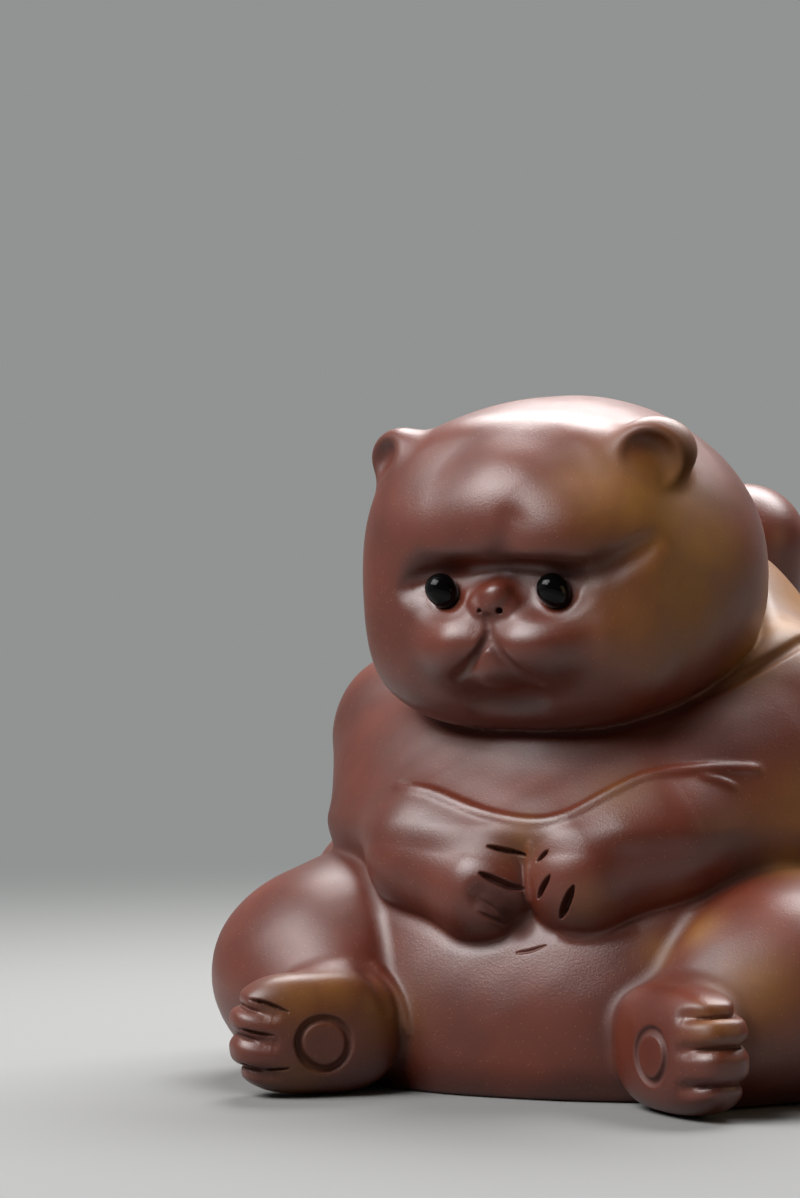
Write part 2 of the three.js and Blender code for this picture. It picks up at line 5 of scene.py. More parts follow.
import bmesh
import bpy
import numpy as np
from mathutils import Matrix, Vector


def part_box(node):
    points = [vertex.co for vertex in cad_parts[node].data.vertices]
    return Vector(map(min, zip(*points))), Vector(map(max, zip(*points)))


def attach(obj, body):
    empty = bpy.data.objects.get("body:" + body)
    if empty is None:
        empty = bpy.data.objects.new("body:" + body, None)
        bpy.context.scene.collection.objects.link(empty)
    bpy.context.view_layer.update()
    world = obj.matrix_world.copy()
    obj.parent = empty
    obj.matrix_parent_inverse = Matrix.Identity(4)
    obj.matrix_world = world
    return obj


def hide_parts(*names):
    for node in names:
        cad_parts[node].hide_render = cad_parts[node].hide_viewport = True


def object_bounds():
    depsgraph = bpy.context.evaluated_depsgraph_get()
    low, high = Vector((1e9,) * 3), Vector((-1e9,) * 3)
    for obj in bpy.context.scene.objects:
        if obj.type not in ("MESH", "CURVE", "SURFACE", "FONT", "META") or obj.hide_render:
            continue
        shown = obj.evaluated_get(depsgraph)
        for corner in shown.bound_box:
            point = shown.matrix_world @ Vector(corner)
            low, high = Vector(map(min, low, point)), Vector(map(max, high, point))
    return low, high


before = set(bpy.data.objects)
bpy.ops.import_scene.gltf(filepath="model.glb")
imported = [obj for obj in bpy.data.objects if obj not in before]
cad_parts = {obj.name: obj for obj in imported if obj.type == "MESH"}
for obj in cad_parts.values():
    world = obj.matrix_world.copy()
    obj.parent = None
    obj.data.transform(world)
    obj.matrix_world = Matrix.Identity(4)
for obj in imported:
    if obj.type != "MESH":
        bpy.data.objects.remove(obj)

MM = 0.001
F = np.float32


def corners(box):
    return [[float(v) for v in corner] for corner in box]


CAD_BOX = corners(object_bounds())

# Lengths below are in millimetres, with the body's axis at the origin and the cat facing -Y.
BELLY_HALF_DEPTH = 33.5
SHIFT = np.array([0.0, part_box("torso_shell")[0].y / MM + BELLY_HALF_DEPTH, 0.0])

# ---------------------------------------------------------------- camera

# Measured in the photograph: degrees round the cat, millimetres, and the focal length in its pixels.
CAMERA = {"turn": 23.0, "distance": 500.0, "height": 62.0, "focal_px": 3800.0, "side": 26.3}
FRAME_PX = (800, 1198)
SENSOR = 36
turn = math.radians(CAMERA["turn"])
RIGHT = np.array([math.cos(turn), math.sin(turn), 0.0])
AHEAD = np.array([-math.sin(turn), math.cos(turn), 0.0])
EYE_POINT = -CAMERA["side"] * RIGHT - CAMERA["distance"] * AHEAD + np.array([0, 0, CAMERA["height"]])

camera = bpy.data.objects.new("camera", bpy.data.cameras.new("camera"))
bpy.context.scene.collection.objects.link(camera)
camera.data.sensor_width = SENSOR
camera.data.lens = CAMERA["focal_px"] / FRAME_PX[1] * SENSOR
camera.location = (EYE_POINT + SHIFT) * MM
camera.rotation_euler = Vector(AHEAD).to_track_quat("-Z", "Y").to_euler()
bpy.context.scene.camera = camera


def pixel_rays(px):
    """Directions in which the camera sees pixels of the photograph."""
    px = np.asarray(px, float)
    across = (px[:, :1] - FRAME_PX[0] / 2) / CAMERA["focal_px"]
    up = (FRAME_PX[1] / 2 - px[:, 1:2]) / CAMERA["focal_px"]
    ray = AHEAD + across * RIGHT + up * np.array([0, 0, 1.0])
    return ray / np.linalg.norm(ray, axis=1)[:, None]


# ---------------------------------------------------------------- soft forms

# Each form is a field: the distance to its skin at each point of p, negative inside.


def about_z(degrees):
    a = math.radians(degrees)
    return np.array([[math.cos(a), -math.sin(a), 0], [math.sin(a), math.cos(a), 0], [0, 0, 1]])


def puff(p, centre, radii, squareness=2.0, rotation=None):
    """An ellipsoid, boxier where the squareness is above 2."""
    q = p - np.array(centre, F)
    if rotation is not None:
        q = q @ np.array(rotation, F)
    r = np.array(radii, F)
    a = np.abs(q) / r
    if squareness == 2.0:
        k = np.sqrt((a * a).sum(1)) + 1e-6
        slope = np.sqrt(((a / r) ** 2).sum(1)) / k + 1e-9
    else:
        k = (a ** squareness).sum(1) ** (1 / squareness) + 1e-6
        slope = np.sqrt(((a ** (squareness - 1) / r) ** 2).sum(1)) / k ** (squareness - 1) + 1e-9
    return (k - 1) / slope


def limb(p, a, b, ra, rb):
    """A round roll from a to b, with its two radii."""
    a, b = np.array(a, F), np.array(b, F)
    d = b - a
    t = np.clip(((p - a) @ d) / (d @ d + 1e-9), 0, 1)
    q = p - a - t[:, None] * d
    return np.sqrt((q * q).sum(1)) - (ra + (rb - ra) * t)


def join(a, b, k):
    """Two forms run together over a width k."""
    h = np.maximum(k - np.abs(a - b), 0) / k
    return np.minimum(a, b) - h * h * k * 0.25


def carve(a, b, k):
    """The first form with the second cut out of it."""
    return -join(-a, b, k)


def settle(edge0, edge1, v):
    """0 at the first edge and 1 at the second, with an easy rise between."""
    t = np.clip((v - edge0) / (edge1 - edge0), 0, 1)
    return t * t * (3 - 2 * t)


def chain(p, stations, k):
    """Rolls through the stations, each a centre and a radius."""
    d = None
    for (a, ra), (b, rb) in zip(stations[:-1], stations[1:]):
        c = limb(p, a, b, ra, rb)
        d = c if d is None else join(d, c, k)
    return d


# ---------------------------------------------------------------- the cat's lumps

HEAD_AT = np.array([-1.2, -9.3, 65.4])
HEAD_TURN = about_z(-3.0)
SIDES = {"right": -1, "left": 1}


def on_head(point):
    """Where a point of the head's own frame lies."""
    return HEAD_TURN @ np.array(point, float) + HEAD_AT


def in_head(p):
    """The points in the head's own frame."""
    return (p - HEAD_AT.astype(F)) @ HEAD_TURN.astype(F)


def bare_face(q):
    d = puff(q, (0, 0, 0), (26.5, 22.1, 22.9), 2.05)
    d = join(d, puff(q, (0, -10.2, -1.5), (21.9, 12.4, 21.4), 2.9), 4)
    # the jaw curves back under
    under = np.clip(-7.0 - q[:, 2], 0, 14)
    front = settle(4, -14, q[:, 1])
    return d + 0.0165 * under * under * front * settle(26, 14, np.abs(q[:, 0]))


# What is added to the bare face or taken from it, in this order: centre, radii and softness.
FACE = [
    # forehead, with its two swellings
    (join, (0, -15.4, 5.4), (16.5, 9.4, 8.2), 4),
    (join, (1.6, -18.0, 7.6), (8.0, 6.8, 7.5), 4),
    (join, (8.0, -18.3, 3.9), (6.4, 6.9, 6.2), 3.5),
    # muzzle
    (join, (-4.9, -20.6, -9.4), (5.5, 4.3, 4.1), 3.0),
    (join, (4.9, -20.6, -9.4), (5.5, 4.3, 4.1), 3.0),
    # sockets, the root of the nose between them, and the hollow under the chin
    (carve, (-7.6, -23.6, -1.7), (4.8, 2.4, 3.0), 2.5),
    (carve, (7.6, -23.6, -1.7), (4.8, 2.4, 3.0), 2.5),
    (carve, (0, -24.4, -0.3), (5.0, 2.4, 1.7), 2.4),
    (carve, (0, -22.4, -17.0), (5.5, 2.6, 2.4), 2.5),
    # nose and lower lip
    (join, (0, -22.1, -3.9), (1.95, 1.9, 1.8), 1.6),
    (join, (0, -20.7, -11.8), (3.5, 2.9, 2.9), 1.5),
]


def head(p):
    q = in_head(p)
    d = bare_face(q)
    for change, centre, radii, k in FACE:
        d = change(d, puff(q, centre, radii), k)
    return d


EAR_FAN = 30
EARS = {
    -1: {"lobe": ((-17.2, -13.3, 14.6), (5.0, 3.5, 4.0)), "cup": ((-18.9, -15.9, 13.6), (3.4, 2.7, 3.2)),
         "lip": 1.6, "box": ((-27, -30, 73), (-13, -14, 87))},
    1: {"lobe": ((17.65, -13.3, 14.9), (5.4, 3.6, 4.4)), "cup": ((18.2, -16.9, 12.9), (4.5, 3.6, 4.5)),
        "lip": 1.1, "box": ((12, -30, 73), (24, -15, 87))},
}


def ear(p, s):
    q, fan, e = in_head(p), about_z(s * EAR_FAN), EARS[s]
    return carve(puff(q, *e["lobe"], 2.0, fan), puff(q, *e["cup"], 2.0, fan), e["lip"])


def torso(p):
    d = puff(p, (0, 0, 9), (36, 33.5, 31), 2.3)
    # the belly leans back above its fullest height and tucks in at the foot
    front = settle(-18, -30, p[:, 1])
    d = d + front * (1.5 * settle(8, 23, p[:, 2]) + 1.2 * settle(6, -1, p[:, 2]) ** 2)
    shoulders = puff(p, (0, 5, 41), (32, 28, 14), 2.2)
    # the chest slopes out to the forearms
    chest = puff(p, (0.5, -11.5, 30.5), (21, 16.5, 13.6))
    nape = puff(p, (0, 11, 42.5), (30, 24.5, 32))
    return join(join(join(d, shoulders, 6), chest, 5), nape, 6)


# Shoulder, upper arm, wrist and paw: centres and radii.
ARMS = {
    -1: [((-27.59, 0.96, 44), 10), ((-23.28, -5.8, 34), 9.8),
         ((-14.67, -21.75, 29.4), 7.4), ((-4.95, -26.71, 25.4), 7.6)],
    1: [((26.89, 0.94, 45.8), 11), ((24.3, -5.17, 35.8), 10.78),
        ((15.26, -19.53, 31.2), 8.14), ((7.49, -25.3, 27.2), 8.36)],
}


def arm(p, s):
    return chain(p, ARMS[s], 5)


def haunch(p, s):
    d = puff(p, (s * 32.46, 7.49, 20), (11.8, 14, 13))
    d = join(d, puff(p, (s * 32.4, -16.87, 13), (14.5, 14.5, 13.5)), 12)
    return join(d, limb(p, (s * 25.38, -10.26, 19), (s * 24.38, -30.54, 7.8), 8, 7), 12)


FOOT_TURN = 41
FEET = {
    -1: {"at": (-24.49, -37.26, 7.8), "size": (10.8, 5, 7.6)},
    1: {"at": (23.7, -36.6, 7.9), "size": (11.9, 5, 7.8)},
}


def foot_axes(s):
    """The directions out of a foot's sole and towards its toes."""
    a = math.radians(FOOT_TURN)
    out = np.array([-s * math.sin(a), -math.cos(a), 0])
    toes = np.array([s * math.cos(a), -math.sin(a), 0])
    return out, toes


def foot(p, s):
    return puff(p, FEET[s]["at"], FEET[s]["size"], 2.8, about_z(-s * FOOT_TURN))


# From the root upwards: centres and radii.
TAIL = [((0, 29.3, 9.5), 9.4), ((2.6, 31.5, 24.5), 9.15), ((4.87, 32.2, 39.5), 8.9),
        ((7.4, 32.1, 54.5), 8.7), ((9.76, 31.7, 69.5), 8.45)]


def tail(p):
    return chain(p, TAIL, 1)


# The top of the floor slab, and the vent in it: middle and radius.
SLAB = 3.4
VENT = ((0, -9), 4.0)


def vent(p):
    """The firing vent and the small chamber that it opens into."""
    (x, y), r = VENT
    bore = np.sqrt((p[:, 0] - x) ** 2 + (p[:, 1] - y) ** 2) - r
    bore = np.maximum(bore, p[:, 2] - 8)
    return join(bore, puff(p, (0, -2, 15), (17, 17, 9)), 1.0)


# A form is worked out up to this far from its box.
FAR = 12.0


def nearby(form, low, high):
    """The form's field near its box, and a safe lower bound away from it."""
    low, high = np.array(low, F) - FAR, np.array(high, F) + FAR

    def field(p):
        d = np.full(len(p), FAR, F)
        at = np.nonzero(((p > low) & (p < high)).all(1))[0]
        if len(at):
            d[at] = form(p[at])
        return d
    return field


def flipped(low, high, s):
    """A box on the cat's left, or its mirror image on the right."""
    if s > 0:
        return low, high
    return (-high[0], *low[1:]), (-low[0], *high[1:])


FORMS = {
    "head_shell": nearby(head, (-30, -35, 40), (28, 15, 91)),
    "torso_shell": nearby(torso, (-38, -35, -2), (38, 37, 76)),
    "tail": nearby(tail, (-11, 18, -2), (20, 43, 80)),
}
for side, s in SIDES.items():
    FORMS[side + "_ear"] = nearby(partial(ear, s=s), *EARS[s]["box"])
    FORMS[side + "_arm"] = nearby(partial(arm, s=s), *flipped((-4, -36, 14), (40, 13, 60), s))
    FORMS[side + "_haunch"] = nearby(partial(haunch, s=s), *flipped((14, -41, -4), (49, 24, 36), s))
    FORMS[side + "_foot"] = nearby(partial(foot, s=s), *flipped((10, -49, -2), (38, -25, 17), s))


def lumps(p):
    return {name: form(p) for name, form in FORMS.items()}


def unevenness(p):
    """Slow hand-made waviness, a fraction of a millimetre."""
    x, y, z = p[:, 0], p[:, 1], p[:, 2]
    return (0.10 * np.sin(0.21 * x + 0.9 * np.sin(0.13 * z) + 1.3) * np.sin(0.19 * z - 0.17 * y)
            + 0.04 * np.sin(0.47 * x + 0.31 * y) * np.sin(0.43 * z + 0.7)
            + 0.01 * np.sin(0.93 * x - 0.71 * z + 0.4) * np.sin(0.81 * y + 0.37 * z)).astype(F)


def nick(a, b, depth, width):
    """A tucked line where two lumps meet."""
    return depth * np.exp(-((a - b) / width) ** 2)


def blended(p, parts):
    """All lumps run together, and cut off flat at the table."""
    h = parts["head_shell"]
    for name in SIDES:
        h = join(h, parts[name + "_ear"], 2.2)
    b = join(parts["torso_shell"], parts["tail"], 3)
    for name in SIDES:
        leg = join(parts[name + "_haunch"], parts[name + "_foot"], 2.5)
        b = join(b, leg, 1.6)
    arms = join(parts["right_arm"], parts["left_arm"], 0.4 + 6 * settle(29, 34, p[:, 2]))
    tuck = nick(b, arms, 0.3, 0.9) * (1 - settle(25, 29, p[:, 2])) * (arms < 4)
    b = join(b, arms, 1.4 + 7.6 * settle(27, 34, p[:, 2])) + tuck
    d = join(h, b, 1.3) + nick(h, b, 0.5, 1.0) * (h < 4) + unevenness(p)
    return carve(d, p[:, 2], 0.8)


def plain(p):
    """The cat before any tool touches it."""
    p = p.astype(F)
    return blended(p, lumps(p))


def slope(fn, p, e=0.05):
    """How the field changes around each point, felt at four corners a step e away."""
    k = np.array([[1, -1, -1], [-1, -1, 1], [-1, 1, -1], [1, 1, 1]], F)
    g = 0
    for i in range(4):
        g = g + k[i] * fn((p + e * k[i]).astype(F))[:, None]
    return g / (4 * e)


def between(points, count=4):
    """A smooth run of points through the given ones."""
    p = np.array(points, float)
    ends = np.concatenate([2 * p[:1] - p[1:2], p, 2 * p[-1:] - p[-2:-1]])
    run = []
    for i in range(len(p) - 1):
        a, b, c, d = ends[i:i + 4]
        for t in np.arange(count) / count:
            run.append(0.5 * (2 * b + (c - a) * t + (2 * a - 5 * b + 4 * c - d) * t * t
                              + (3 * b - a - 3 * c + d) * t ** 3))
    return np.array(run + [p[-1]])


# The share of the distance left that a step towards the clay takes, so that it never oversteps.
CAREFUL = 0.8
# No part of the cat is nearer to the camera than its axis by more than this.
CLEARANCE = 80.0


def seen(px):
    """Places and outward directions of the clay under pixels of the photograph."""
    ray = pixel_rays(px)
    t = np.full(len(ray), CAMERA["distance"] - CLEARANCE)
    for _ in range(70):
        t += CAREFUL * plain(EYE_POINT + t[:, None] * ray)
    p = EYE_POINT + t[:, None] * ray
    n = slope(plain, p)
    return p, n / np.linalg.norm(n, axis=1)[:, None]


def seen_runs(runs):
    """The same for many smooth runs of pixels at once."""
    runs = [between(px) for px in runs]
    p, n = seen(np.concatenate(runs))
    ends = np.cumsum([len(r) for r in runs])[:-1]
    return list(zip(np.split(p, ends), np.split(n, ends)))


# ---------------------------------------------------------------- tool marks

# Each mark follows pixels of the photograph. A slit is cut with a thin tool: its numbers are width and
# depth. A press is a smooth dent, or a roll where its depth is negative: its numbers are the reach above
# the line, the reach below it, and the depth.
SLITS = [
    ([(488, 846), (508, 851), (527, 856)], 0.62, 1.1),
    ([(480, 873), (494, 879), (510, 886), (523, 889)], 0.95, 1.5),
    ([(470, 895), (488, 907), (508, 921)], 1.0, 1.1),
    ([(478, 913), (493, 921), (506, 928)], 0.5, 0.7),
    ([(537, 861), (547, 851)], 0.6, 0.9),
    ([(538, 898), (542, 888), (549, 876)], 0.8, 1.4),
    ([(561, 918), (566, 904), (573, 887)], 1.1, 1.8),
    ([(517, 953), (530, 951), (545, 946)], 0.4, 0.25),
    ([(288, 1012), (267, 1003), (249, 999)], 0.45, 0.9),
    ([(273, 1036), (254, 1033), (238, 1029)], 0.45, 0.9),
    ([(288, 1069), (266, 1071), (252, 1069), (240, 1064)], 0.5, 0.9),
]
PRESSES = [
    # brow
    ([(408, 587), (424, 581), (450, 575), (475, 571), (502, 569), (532, 571), (560, 573), (600, 570),
      (630, 558), (655, 541)], 1.3, 1.6, 1.0),
    ([(416, 584), (435, 576), (460, 573), (485, 570), (502, 568)], 0.9, 0.9, 0.5),
    ([(504, 568), (520, 569), (540, 571), (565, 572), (600, 569), (628, 556), (648, 545)], 1.3, 0.9, 1.0),
    ([(511, 522), (504, 544)], 1.9, 1.9, 0.4),
    # lids
    ([(428, 588), (431, 601), (441, 611), (455, 613), (464, 604), (466, 592)], 0.5, 0.6, -0.15),
    ([(536, 590), (540, 603), (552, 613), (568, 612), (579, 602), (581, 590)], 0.5, 0.6, -0.15),
    # nose
    ([(493, 595), (494, 600)], 1.5, 1.3, -0.6),
    ([(505, 571), (500, 588)], 1.6, 1.6, -0.6),
    ([(472, 603), (477, 610)], 0.9, 0.8, -0.3),
    ([(514, 603), (509, 611)], 0.9, 0.8, -0.3),
    ([(487, 617), (489, 631)], 0.6, 0.6, 0.25),
    # mouth and muzzle
    ([(488, 638), (481, 650), (471, 663), (456, 679)], 0.7, 0.7, 0.8),
    ([(491, 638), (498, 650), (508, 662), (521, 673), (538, 682)], 1.0, 0.8, 0.5),
    ([(489, 654), (491, 668)], 1.9, 1.9, -0.6),
    ([(450, 641), (466, 640)], 2.4, 2.2, -0.45),
    ([(518, 642), (560, 638), (600, 630)], 2.8, 2.6, -0.6),
    ([(558, 668), (602, 654)], 3.0, 3.0, -0.45),
    ([(484, 706), (510, 707), (536, 702)], 2.2, 2.0, 0.8),
    # chest
    ([(400, 777), (440, 785), (485, 803), (530, 812), (565, 806), (610, 783), (660, 763),
      (700, 758)], 2.2, 1.0, 0.12),
    ([(395, 785), (430, 791), (480, 811), (530, 821), (567, 815), (605, 795), (642, 777), (680, 770),
      (720, 768), (758, 769)], 0.65, 0.75, -0.6),
    ([(702, 776), (720, 780), (736, 787)], 0.5, 0.6, -0.3),
    ([(696, 699), (722, 688), (750, 673), (778, 657), (806, 640)], 0.7, 0.7, 0.9),
    ([(735, 668), (765, 648), (800, 628)], 2.6, 2.4, -0.7),
    # paws
    ([(444, 840), (466, 866)], 3.2, 3.0, -0.1),
    ([(598, 852), (622, 836)], 3.0, 2.8, -0.4),
    ([(530, 845), (527, 880), (530, 904)], 0.5, 0.5, -0.3),
    ([(482, 897), (500, 908), (518, 921)], 1.6, 1.5, 1.5),
    ([(562, 934), (595, 937), (630, 929)], 0.7, 0.8, -0.4),
    # legs
    ([(376, 966), (392, 986), (402, 1005), (408, 1032)], 0.6, 0.6, -0.5),
    ([(362, 966), (380, 990), (392, 1018)], 1.2, 1.2, 0.4),
]
PAD_RING = {"side": 21.2, "front": -41.2, "height": {-1: 6.9, 1: 7.4},
            "radius": 3.2, "width": 1.0, "depth": {-1: 0.9, 1: 0.45}}
# Heights of each groove, round the tip of the toes and on the sole.
TOE_GROOVES = {-1: [(11.9, 10.6), (8.0, 7.0), (3.5, 2.9)], 1: [(13.2, 12.6), (9.2, 8.6), (4.5, 4.0)]}
TOE_PRESS = {"reach": 0.85, "depth": 0.9}
# The nostrils, in the head's own frame: how far to the side, and the radius.
NOSTRILS = [(-1.35, 0.27), (1.35, 0.40)]


def ring_on_sole(s):
    """The pad's ring: centre line, outward directions, half widths and depths."""
    out, toes = foot_axes(s)
    turns = np.linspace(0, 2 * math.pi, 41)
    uneven = 1 + 0.03 * np.sin(2 * turns + 0.6) + 0.02 * np.sin(3 * turns)
    middle = np.array([s * PAD_RING["side"], PAD_RING["front"], PAD_RING["height"][s]])
    ring = middle + PAD_RING["radius"] * uneven[:, None] * (
        np.cos(turns)[:, None] * toes + np.sin(turns)[:, None] * [0, 0, 1])
    for _ in range(12):
        ring = ring - out * plain(ring)[:, None] * CAREFUL
    heavy = 0.75 + 0.25 * np.cos(turns + 0.7)
    half = PAD_RING["width"] / 2 * (0.75 + 0.25 * heavy)
    return ring, np.tile(out, (len(ring), 1)), half, PAD_RING["depth"][s] * heavy


def toe_run(s, outer, inner):
    """Points and outward directions round a foot's toe end, from the sole to behind the toes."""
    out, toes = foot_axes(s)
    middle = np.array(FEET[s]["at"], float)
    length = FEET[s]["size"][0]
    turns = np.radians(np.linspace(-62, 68, 17))
    ray = np.cos(turns)[:, None] * toes - np.sin(turns)[:, None] * out
    p = middle + 0.4 * length * toes + ray * 14
    t = np.linspace(0, 1, len(turns))
    p[:, 2] = inner + (outer - inner) * np.clip(t / 0.4, 0, 1)
    for _ in range(30):
        p = p - ray * (foot(p.astype(F), s)[:, None] * CAREFUL)
    n = slope(partial(foot, s=s), p)
    return p, n / np.linalg.norm(n, axis=1)[:, None]


def slit_tracks():
    """Grooves: points on the skin, outward directions, half widths, depths and softness of the edge."""
    tracks = []
    for (p, n), (_, width, depth) in zip(seen_runs([px for px, _, _ in SLITS]), SLITS):
        t = np.linspace(0, 1, len(p))
        taper = 0.35 + 0.65 * np.minimum(1, np.minimum(t, 1 - t) / 0.3) ** 0.6
        tracks.append((p, n, width / 2 * taper, depth * taper, 0.25))
    for s in (-1, 1):
        tracks.append((*ring_on_sole(s), 0.45))
        for outer, inner in TOE_GROOVES[s]:
            p, n = toe_run(s, outer, inner)
            t = np.linspace(0, 1, len(p))
            taper = settle(0, 0.25, t) * settle(0, 0.25, 1 - t)
            tracks.append((p, n, 0.14 + 0.2 * taper, 0.1 + 1.1 * taper, 0.6))
    for x, r in NOSTRILS:
        hole = np.array([on_head((x, -24.2, -4.9)), on_head((x, -21.6, -4.3))])
        tracks.append((hole, None, np.full(2, r), None, 0.25))
    return tracks


def press_lines():
    """Presses: points on the skin, reach above and below them, and depth."""
    lines = [(run[0], above, below, depth)
             for run, (_, above, below, depth) in zip(seen_runs([px for px, _, _, _ in PRESSES]), PRESSES)]
    for s in (-1, 1):
        for outer, inner in TOE_GROOVES[s]:
            reach = TOE_PRESS["reach"]
            lines.append((toe_run(s, outer, inner)[0], reach, reach, TOE_PRESS["depth"]))
    return lines


TRACKS, LINES = slit_tracks(), press_lines()


def close_to(p, points, reach):
    """Which points lie in the box of a run, widened by a reach."""
    return np.nonzero(((p > points.min(0) - reach) & (p < points.max(0) + reach)).all(1))[0]


def pressed(p, d):
    """The field with the presses in it, each fading out towards its ends."""
    for points, above, below, depth in LINES:
        wide = 2.5 * max(above, below)
        at = close_to(p, points, wide)
        if not len(at):
            continue
        q = p[at]
        best = np.full(len(q), 1e9, F); rise = np.zeros(len(q), F); run = np.zeros(len(q), F)
        length = 0.0
        for a, b in zip(points[:-1].astype(F), points[1:].astype(F)):
            line = b - a
            size = float(np.sqrt(line @ line)) + 1e-6
            t = np.clip(((q - a) @ line) / size ** 2, 0, 1)
            off = q - a - t[:, None] * line
            dist = (off * off).sum(1)
            nearer = dist < best
            best = np.where(nearer, dist, best)
            rise = np.where(nearer, off[:, 2], rise)
            run = np.where(nearer, length + t * size, run)
            length += size
        side = settle(-0.5, 0.5, rise)
        reach = below + (above - below) * side
        fade = depth
        if length > 4 * max(above, below):
            ease = 1.5 * max(above, below)
            fade = depth * settle(-ease, ease, run) * settle(-ease, ease, length - run)
        d[at] += fade * np.exp(-best / reach ** 2)
    return d


def groove(q, points, dirs, half, depth):
    """Distance to a run of grooves whose section is an oval, wider at the skin and narrow below."""
    track = None
    for i in range(len(points) - 1):
        a, line = points[i].astype(F), (points[i + 1] - points[i]).astype(F)
        t = np.clip(((q - a) @ line) / (line @ line + 1e-9), 0, 1)
        off = q - a - t[:, None] * line
        r = half[i] + (half[i + 1] - half[i]) * t
        if dirs is not None:
            n = dirs[i] + dirs[i + 1]
            n = (n / np.linalg.norm(n)).astype(F)
            rise = off @ n
            deep = np.maximum(depth[i] + (depth[i + 1] - depth[i]) * t, r)
            off = off - (rise * (1 - r / deep))[:, None] * n
        c = np.sqrt((off * off).sum(1)) - r
        track = c if track is None else np.minimum(track, c)
    return track


def slit(p, d):
    """The field with the grooves cut into it."""
    for points, dirs, half, depth, soft in TRACKS:
        at = close_to(p, points, half.max() + soft + (0 if depth is None else depth.max()))
        if len(at):
            d[at] = carve(d[at], groove(p[at], points, dirs, half, depth), soft)
    return d


def clay(p):
    """The finished clay."""
    p = p.astype(F)
    d = slit(p, pressed(p, plain(p)))
    # pressed clay never comes below the table
    return carve(np.maximum(d, -p[:, 2] - 0.01), vent(p), 0.5)


# ---------------------------------------------------------------- one skin, many lumps

STEP = 0.425
COARSE = 4
LOW, HIGH = np.array([-49.0, -46.5, -1.5]), np.array([49.0, 45.0, 91.0])
NAMES = ["torso_shell", "floor_slab", "head_shell", "right_ear", "left_ear", "right_arm", "left_arm",
         "right_haunch", "left_haunch", "right_foot", "left_foot", "tail"]
# The folded parts sit over the body, so the body gives way to them by this much.
GIVE_WAY = 0.6
# The slab lies this far inside the body's skin.
SLAB_INSET = 5.2
# No mark changes the field by more than about this.
DEEPEST_MARK = 1.6
BATCH = 300000


def batches(p):
    return (p[i:i + BATCH] for i in range(0, len(p), BATCH))


def in_batches(fn, p):
    return np.concatenate([fn(q.astype(F)) for q in batches(p)])


def label_of(p):
    """The number of the lump that owns each point."""
    parts = lumps(p)
    stack = np.stack([parts.get(n, np.full(len(p), 99, F)) for n in NAMES])
    stack[0] += GIVE_WAY
    label = stack.argmin(0)
    slab = (p[:, 2] < SLAB) & (stack[0] < -SLAB_INSET) & (label == 0)
    label[slab] = NAMES.index("floor_slab")
    return label.astype(np.int8)


def either_side(axis):
    """Slices that pair each point of a grid with the next one along an axis."""
    low, high = [slice(None)] * 3, [slice(None)] * 3
    low[axis], high[axis] = slice(0, -1), slice(1, None)
    return tuple(low), tuple(high)


def skin():
    """The clay's field and its owners on a grid, fine near the skin and where two lumps meet."""
    cells = np.ceil((HIGH - LOW) / STEP / COARSE).astype(int)
    axes = [LOW[i] + STEP * COARSE * (np.arange(cells[i]) + 0.5) for i in range(3)]
    mid = np.stack(np.meshgrid(*axes, indexing="ij"), -1).reshape(-1, 3)
    rough = in_batches(clay, mid).reshape(cells)
    owner = in_batches(label_of, mid).reshape(cells)
    band = np.abs(rough) < STEP * COARSE * 1.1 + DEEPEST_MARK
    for axis in range(3):
        change = np.diff(owner, axis=axis) != 0
        for part in either_side(axis):
            band[part] |= change & (rough[part] < 3)
    spread = lambda a: a.repeat(COARSE, 0).repeat(COARSE, 1).repeat(COARSE, 2)
    value = spread(np.where(rough > 0, 9, -9).astype(F))
    label = spread(np.where(rough > 0, -1, owner).astype(np.int8))
    index = np.argwhere(band)
    offset = np.stack(np.meshgrid(*[np.arange(COARSE)] * 3, indexing="ij"), -1).reshape(-1, 3)
    ijk = (index[:, None, :] * COARSE + offset[None]).reshape(-1, 3)
    where = LOW + STEP * ijk
    v = in_batches(clay, where)
    own = np.full(len(v), -1, np.int8)
    solid = v < 0
    own[solid] = in_batches(label_of, where[solid])
    value[tuple(ijk.T)] = v
    label[tuple(ijk.T)] = own
    return value, label


